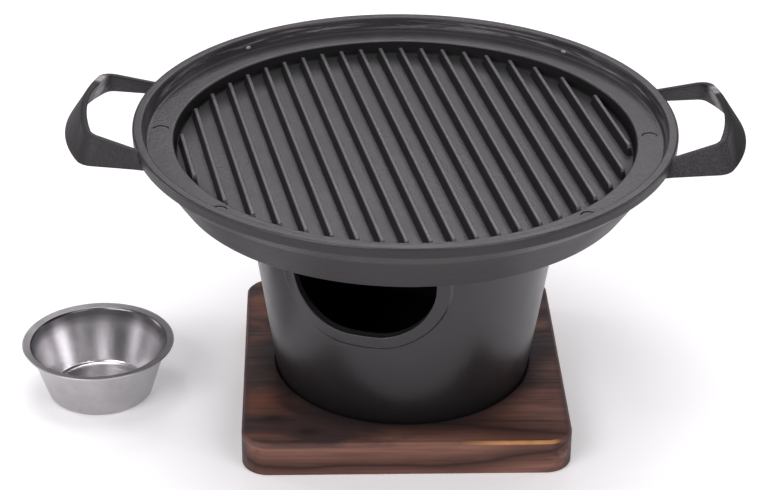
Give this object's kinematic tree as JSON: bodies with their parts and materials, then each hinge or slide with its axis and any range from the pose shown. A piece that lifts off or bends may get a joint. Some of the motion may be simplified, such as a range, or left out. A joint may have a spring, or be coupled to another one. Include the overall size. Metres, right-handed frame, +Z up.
{
  "type": "tabletop grill",
  "caption": "Small round grill: ribbed cast pan with two loop handles on a tapered vented stove, wooden base board and loose fuel cup.",
  "frame": {"origin": "middle of the base board's underside", "axes": "+Z up, +X along the board's side, the way the handles point, and +Y to the back, away from the vent"},
  "size_m": [0.2849, 0.21, 0.1277],
  "materials": {
    "charred_wood": "charred and brushed, satin",
    "black_casting": "black satin coating on cast aluminium",
    "pressed_steel": "satin outside, brighter inside"
  },
  "bodies": {
    "board": {"base_board": "charred_wood"},
    "stove": {"stove_body": "black_casting"},
    "pan": {"grill_pan": "black_casting"},
    "cup": {"fuel_cup": "pressed_steel"}
  },
  "joints": [
    {"name": "lift_stove", "type": "slide", "parent": "board", "child": "stove", "axis": [0, 0, 1], "range_m": [0, 0.06]},
    {"name": "lift_pan", "type": "slide", "parent": "stove", "child": "pan", "axis": [0, 0, 1], "range_m": [0, 0.08]},
    {"name": "lift_cup", "type": "slide", "parent": "board", "child": "cup", "axis": [0, 0, 1], "range_m": [0, 0.06]}
  ]
}
